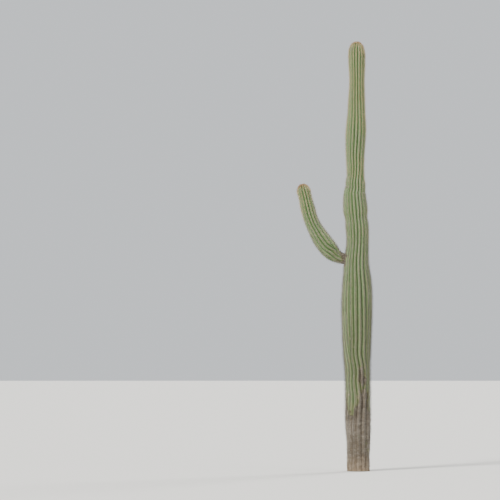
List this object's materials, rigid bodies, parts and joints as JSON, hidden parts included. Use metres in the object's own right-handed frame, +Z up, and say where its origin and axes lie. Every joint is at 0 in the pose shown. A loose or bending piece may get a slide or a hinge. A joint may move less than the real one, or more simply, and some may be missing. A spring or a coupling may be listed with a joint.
{
  "type": "saguaro cactus",
  "caption": "Tall ribbed column cactus with one arm on a narrow neck that sweeps up beside the trunk, spined ribs and a woolly growing tip on trunk and arm.",
  "frame": {"origin": "middle of the flat cut at ground level under the trunk", "axes": "+Z up along the trunk, the arm leaves towards -X, +Y to the back of the pictured view"},
  "size_m": [1.2635, 0.5722, 7.1012],
  "materials": {
    "trunk_flesh": "waxy grey-green skin, corky and grey-brown at the foot, with grey spines",
    "arm_flesh": "waxy green skin with straw-coloured spines",
    "tip_wool": "matt tan wool"
  },
  "bodies": {
    "root": {"trunk": "trunk_flesh", "trunk_wool": "tip_wool", "arm_neck": "arm_flesh", "arm_elbow": "arm_flesh", "arm_upright": "arm_flesh", "arm_wool": "tip_wool"}
  },
  "joints": []
}
